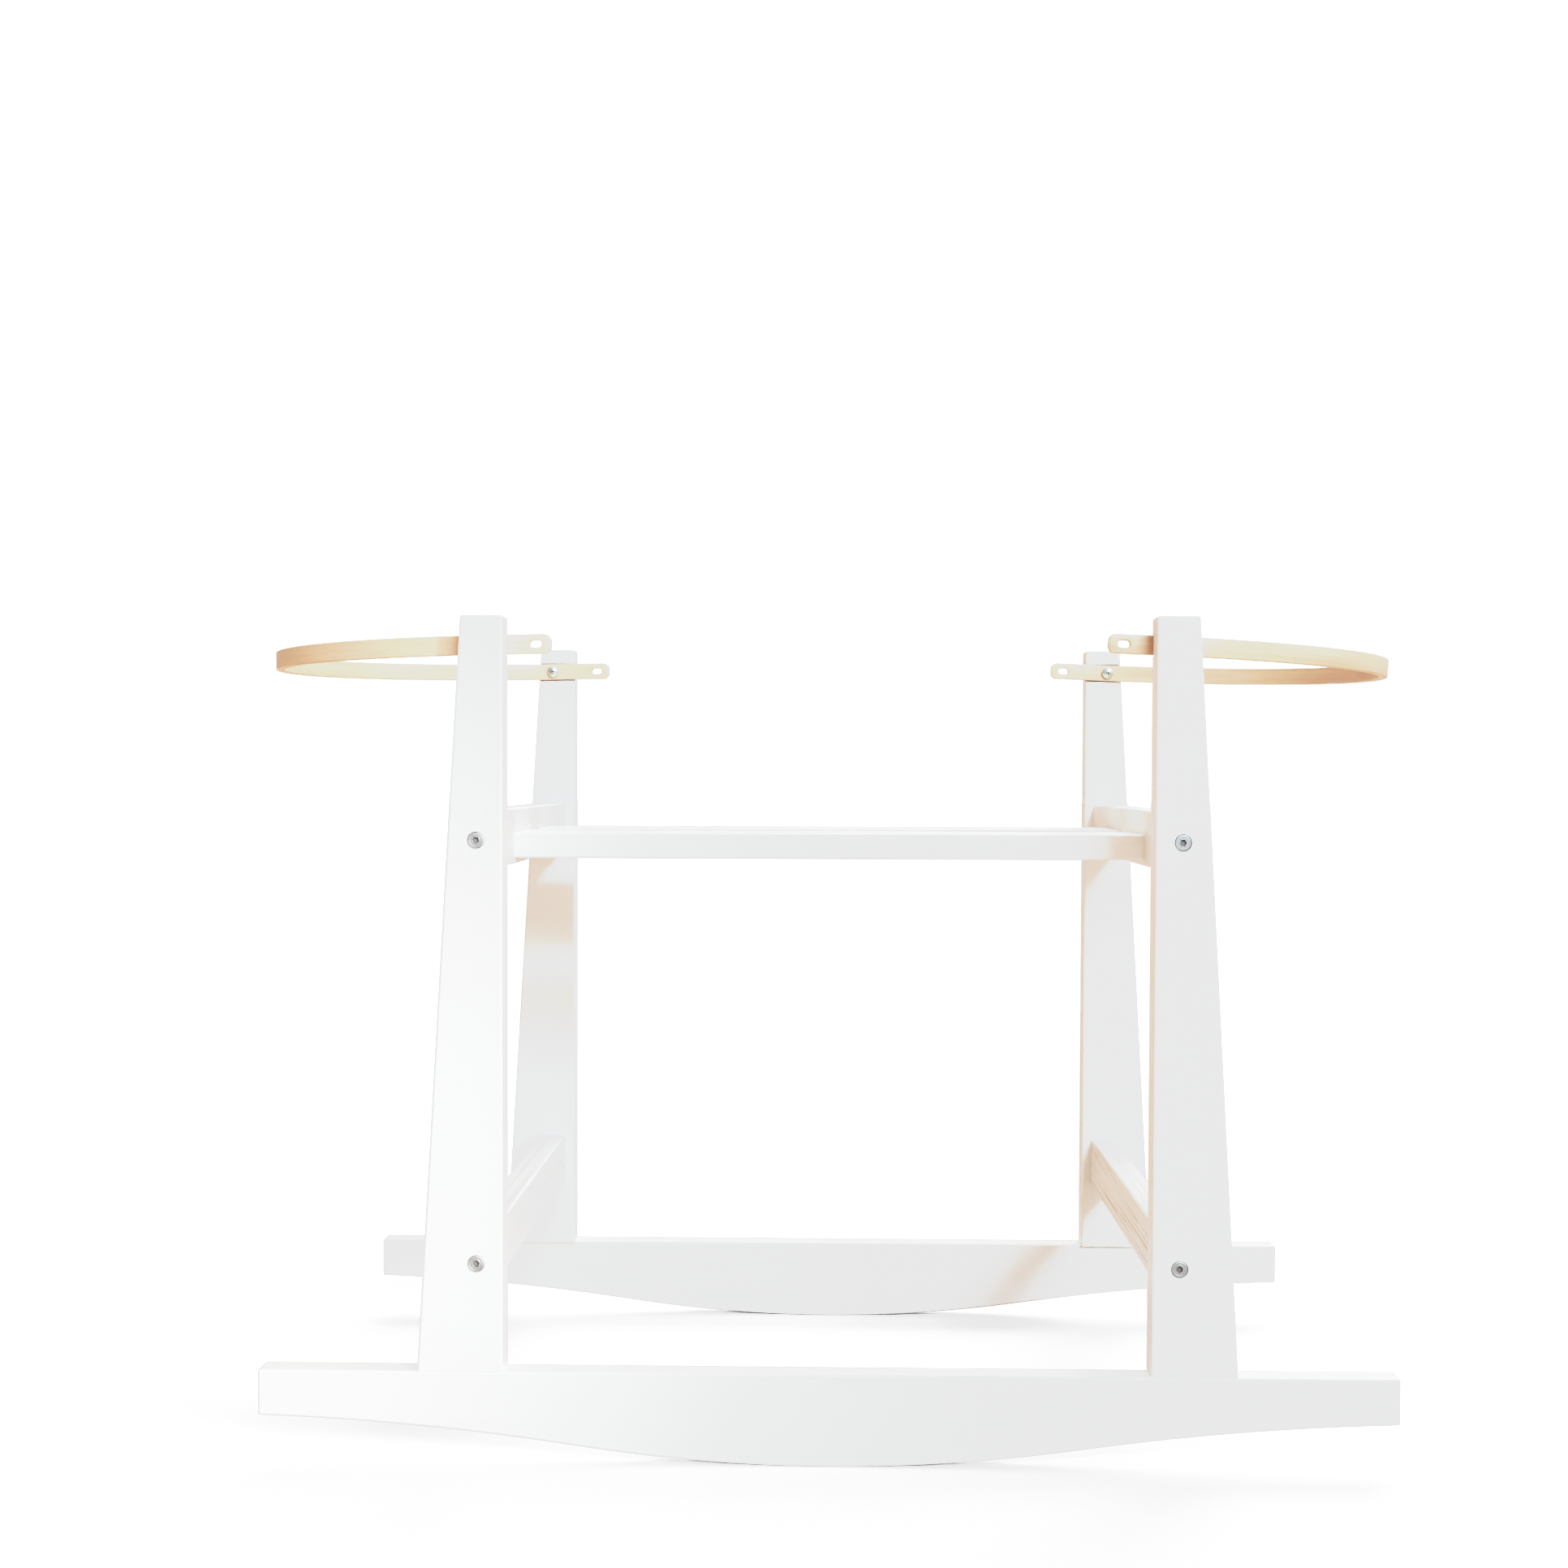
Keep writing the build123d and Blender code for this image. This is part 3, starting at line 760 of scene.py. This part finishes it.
def rail_bolts():
    """A bolt at each end of each side rail, its head just under the leg's face."""
    corner_radius = SOCKET_ACROSS / 2 / math.cos(math.pi / 6)
    number = 0
    for face_name, face in FACES.items():
        for side_name in SIDES:
            node = f"rail_bolts_{face_name}_{side_name}"
            low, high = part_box(node)
            x = (low.x + high.x) / 2
            seat_y = face * (max(abs(low.y), abs(high.y)) - BOLT_HEAD_HEIGHT)
            length = high.y - low.y - BOLT_HEAD_HEIGHT
            for level, z in (("lower", low.z + BOLT_HEAD_RADIUS), ("upper", high.z - BOLT_HEAD_RADIUS)):
                number += 1
                top = BOLT_HEAD_HEIGHT
                cutters = [prism(6, corner_radius, top - SOCKET_DEPTH, top + OVERCUT)]
                flare_radius = corner_radius * SOCKET_FLARE
                flare_bottom = top - SOCKET_FLARE_DEPTH
                cutters.append(prism(6, flare_radius, flare_bottom, top + 0.01 * MM, 1 / SOCKET_FLARE))
                spin = Matrix.Rotation(math.radians(BOLT_SPIN * number), 4, "Z")
                place = facing((x, seat_y, z), (0, face, 0)) @ spin
                plain = length * BOLT_PLAIN
                shank = threaded_rod(BOLT_RADIUS, length, BOLT_PITCH, BOLT_THREAD_DEPTH, plain=plain)
                name = f"bolt_{face_name}_{side_name}_{level}"
                finish = (MATERIALS["nickel"], node, "bolt_nickel")
                fastener(name, bolt_profile(), shank, cutters, place, *finish)


SCREW_HEAD_RADIUS = 5 * MM
SCREW_HEAD_HEIGHT = 3.4 * MM
PIVOT_RADIUS = 2.5 * MM
SCREW_SPIN = 41


def screw_seat(side_name, pivot_x):
    """How far from the middle plane a hoop screw's head sits: just inside the band as it starts to bend."""
    low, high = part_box("hoop_" + side_name)
    centre_x = max(abs(low.x), abs(high.x)) - high.y
    inner_radius = high.y - BAND_THICKNESS
    bend = pivot_x + SCREW_HEAD_RADIUS - centre_x
    return math.sqrt(inner_radius**2 - bend**2) - HOOP_PLAY


def hoop_screws():
    """A pan-headed screw through each end of each hoop."""
    number = 0
    for side_name in SIDES:
        node = "hoop_screws_" + side_name
        low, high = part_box(node)
        x, z = (low.x + high.x) / 2, (low.z + high.z) / 2
        seat_y = screw_seat(side_name, abs(x))
        length = high.y - seat_y
        for face_name, face in FACES.items():
            number += 1
            seat = (x, face * seat_y, z)
            rim = {"edge": 1.3 * MM, "crown": 1.0 * MM, "under": 0.5 * MM}
            profile = rounded_disc(SCREW_HEAD_RADIUS, SCREW_HEAD_HEIGHT, **rim)
            turn = math.radians(SCREW_SPIN * number + 23)
            cutters = cross_cutters(SCREW_HEAD_HEIGHT, size=2.5 * MM, depth=1.9 * MM, turn=turn)
            shank = threaded_rod(PIVOT_RADIUS, length, pitch=0.8 * MM, depth=0.42 * MM, plain=length / 2)
            place = facing(seat, (0, -face, 0))
            name = f"hoop_screw_{face_name}_{side_name}"
            fastener(name, profile, shank, cutters, place, MATERIALS["zinc"], node, "screw_zinc")


WOOD_SCREW_RADIUS = 2.25 * MM
WOOD_HEAD_RADIUS = 4.5 * MM
WOOD_SCREW_LENGTH = 50 * MM
WOOD_SCREW_SPIN = 53


def slat_screws():
    """Countersunk screws through the upper rails into the ends of the slats."""
    cone = WOOD_HEAD_RADIUS - WOOD_SCREW_RADIUS
    rim_across = 0.35 * MM
    rim_down = 0.25 * MM
    number = 0
    for side_name, side in SIDES.items():
        node = "slat_screws_" + side_name
        low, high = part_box(node)
        face_x = high.x if side > 0 else low.x
        z = (low.z + high.z) / 2
        inner_y = sum(span("slat_rear", 1)) / 2
        step = high.y - WOOD_HEAD_RADIUS - inner_y
        for face_name, face in FACES.items():
            for which, way in (("a", -1), ("b", 1)):
                number += 1
                y = face * inner_y + way * step
                profile = [(0.0, cone), (WOOD_HEAD_RADIUS - rim_across, cone)]
                profile += [(WOOD_HEAD_RADIUS, cone - rim_down), (WOOD_SCREW_RADIUS, 0.0), (0.0, 0.0)]
                turn = math.radians(WOOD_SCREW_SPIN * number + 17)
                cutters = cross_cutters(cone, size=2.3 * MM, depth=1.8 * MM, turn=turn)
                length = WOOD_SCREW_LENGTH - cone
                thread = {"pitch": 2.0 * MM, "depth": 0.65 * MM, "plain": length * 0.35, "point": 6 * MM}
                shank = threaded_rod(WOOD_SCREW_RADIUS, length, **thread)
                place = facing((face_x - side * cone, y, z), (side, 0, 0))
                name = f"slat_screw_{face_name}_{side_name}_{which}"
                fastener(name, profile, shank, cutters, place, MATERIALS["screw_zinc"], node, "screw_zinc")


# ---------------------------------------------------------------------------------------------
# Stage, light and camera

FLOOR_RADIUS = 40.0
FLOOR_SINK = 0.2 * MM
FLOOR_DARK = (0.290, 0.190, 0.128)
FLOOR_LIGHT = (0.303, 0.202, 0.138)


def floor():
    """A wide floor. It shows only the shadows on it, and its warm colour lights the stand from below."""
    shape = bmesh.new()
    bmesh.ops.create_circle(shape, cap_ends=True, segments=96, radius=FLOOR_RADIUS)
    mesh = bpy.data.meshes.new("floor")
    shape.to_mesh(mesh)
    shape.free()
    obj = new_object("floor", mesh, Matrix.Translation((0, 0, -FLOOR_SINK)))
    n = Nodes("warm_floor")
    cloud = n.noise(n.place(), 0.7, 2.0)
    n.link(n.blend(cloud, FLOOR_DARK, FLOOR_LIGHT), n.shader.inputs["Base Color"])
    n.set(Roughness=0.85, Specular_IOR_Level=0.2)
    dress(obj, n.material)
    obj.is_shadow_catcher = True


ROOM_LEFT = (0.78, 0.570, 0.440)
ROOM_RIGHT = (1.32, 1.04, 0.88)
BACKDROP_BRIGHTNESS = 8.0


def world():
    """A warm bright room, darker to the left. The camera itself sees it as plain white."""
    sky = bpy.data.worlds.new("studio")
    sky.use_nodes = True
    nodes, links = sky.node_tree.nodes, sky.node_tree.links
    room = nodes["Background"]
    split = nodes.new("ShaderNodeSeparateXYZ")
    links.new(nodes.new("ShaderNodeTexCoord").outputs["Generated"], split.inputs["Vector"])
    across = nodes.new("ShaderNodeMapRange")
    across.inputs["From Min"].default_value = -1.0
    links.new(split.outputs["X"], across.inputs["Value"])
    colour = nodes.new("ShaderNodeMix")
    colour.data_type = "RGBA"
    colour.inputs["A"].default_value = (*ROOM_LEFT, 1.0)
    colour.inputs["B"].default_value = (*ROOM_RIGHT, 1.0)
    links.new(across.outputs["Result"], colour.inputs["Factor"])
    links.new(colour.outputs["Result"], room.inputs["Color"])
    backdrop = nodes.new("ShaderNodeBackground")
    backdrop.inputs["Color"].default_value = (1.0, 1.0, 1.0, 1.0)
    backdrop.inputs["Strength"].default_value = BACKDROP_BRIGHTNESS
    seen = nodes.new("ShaderNodeLightPath").outputs["Is Camera Ray"]
    choice = nodes.new("ShaderNodeMixShader")
    plain, bright = choice.inputs[1:]
    links.new(seen, choice.inputs["Fac"])
    links.new(room.outputs["Background"], plain)
    links.new(backdrop.outputs["Background"], bright)
    links.new(choice.outputs["Shader"], nodes["World Output"].inputs["Surface"])
    bpy.context.scene.world = sky


def towards(azimuth, elevation):
    """The direction of a lamp. Azimuth is how far to the right of straight ahead it stands."""
    a, e = math.radians(azimuth), math.radians(elevation)
    return Vector((math.sin(a) * math.cos(e), -math.cos(a) * math.cos(e), math.sin(e)))


def add_lamp(name, kind, place, direction, colour):
    lamp = bpy.data.lights.new(name, kind)
    lamp.color = colour
    obj = bpy.data.objects.new(name, lamp)
    bpy.context.scene.collection.objects.link(obj)
    obj.matrix_world = facing(place, direction)
    return lamp


SUN_DISTANCE = 3


def sun(name, azimuth, elevation, strength, colour, angle):
    """A distant lamp. The strength is what a white face turned to it reflects."""
    direction = towards(azimuth, elevation)
    lamp = add_lamp(name, "SUN", direction * SUN_DISTANCE, direction, colour)
    lamp.energy = strength * math.pi
    lamp.angle = math.radians(angle)


def window(name, first, last, panes, elevation, strength, colour):
    """A wide low window, as a row of distant lamps from one azimuth to another."""
    step = (last - first) / (panes - 1)
    for pane in range(panes):
        sun(f"{name}_{pane}", first + step * pane, elevation, strength / panes, colour, step)


def wash(name, place, target, strength, degrees):
    """A wide soft spot. The strength is what a white face turned to it reflects at the target."""
    place, target = Vector(place), Vector(target)
    reach = place - target
    lamp = add_lamp(name, "SPOT", place, reach, (1.0, 1.0, 1.0))
    lamp.energy = strength * 4 * math.pi * math.pi * reach.length_squared
    lamp.spot_size = math.radians(degrees)
    lamp.spot_blend = 1.0
    lamp.shadow_soft_size = 0.25


TONE_WHITE = 8.0
TONE_POINTS = ((0.30, 0.298), (0.60, 0.585), (0.80, 0.70), (1.0, 0.78), (1.3, 0.803), (2.0, 0.815))
TONE_POINTS += ((2.5, 0.83), (3.2, 0.88), (4.2, 0.945), (6.0, 0.995))


def tone():
    """The film's response, as pairs of light and shown brightness, up to a light that is pure white.

    Well lit white paint stays nearly level, and only much brighter light goes on to white.
    """
    view = bpy.context.scene.view_settings
    view.view_transform = "Standard"
    view.look = "None"
    view.use_curve_mapping = True
    curves = view.curve_mapping
    curves.white_level = (TONE_WHITE, TONE_WHITE, TONE_WHITE)
    combined = curves.curves[3]
    for light, shown in TONE_POINTS:
        combined.points.new(light / TONE_WHITE, shown)
    curves.update()


# In metres, degrees and millimetres of lens and sensor.
CAMERA_SENSOR = 36.0
CAMERA_PLACE = (0.0023, -1.7712, 0.4903)
CAMERA_PAN = 1.24
CAMERA_TILT = -1.70
CAMERA_ROLL = -0.19
CAMERA_LENS = 50.31
CAMERA_SHIFT_UP = 0.0362


def camera():
    data = bpy.data.cameras.new("camera")
    data.sensor_width = CAMERA_SENSOR
    data.lens = CAMERA_LENS
    data.shift_y = CAMERA_SHIFT_UP
    data.clip_start = 0.05
    data.clip_end = 200.0
    obj = bpy.data.objects.new("camera", data)
    bpy.context.scene.collection.objects.link(obj)
    pan = Matrix.Rotation(math.radians(CAMERA_PAN), 4, "Z")
    tilt = Matrix.Rotation(math.radians(CAMERA_TILT), 4, "X")
    roll = Matrix.Rotation(math.radians(CAMERA_ROLL), 4, "Y")
    level = Matrix.Rotation(math.radians(90), 4, "X")
    obj.matrix_world = Matrix.Translation(CAMERA_PLACE) @ pan @ tilt @ roll @ level
    bpy.context.scene.camera = obj


camera()
world()
window("key", first=10, last=28, panes=4, elevation=28, strength=3.0, colour=(0.56, 0.78, 0.90))
sun("rear", azimuth=165, elevation=42, strength=3.4, colour=(0.97, 0.99, 1.0), angle=40)
sun("side", azimuth=78, elevation=16, strength=0.25, colour=(0.92, 0.98, 1.0), angle=30)
wash("left_wash", place=(1.4, -2.6, 1.0), target=(-0.62, -0.23, 0.12), strength=5.8, degrees=20)
tone()
floor()
dress_nodes()
for name in SIDES:
    hoop(name)
rail_bolts()
hoop_screws()
slat_screws()
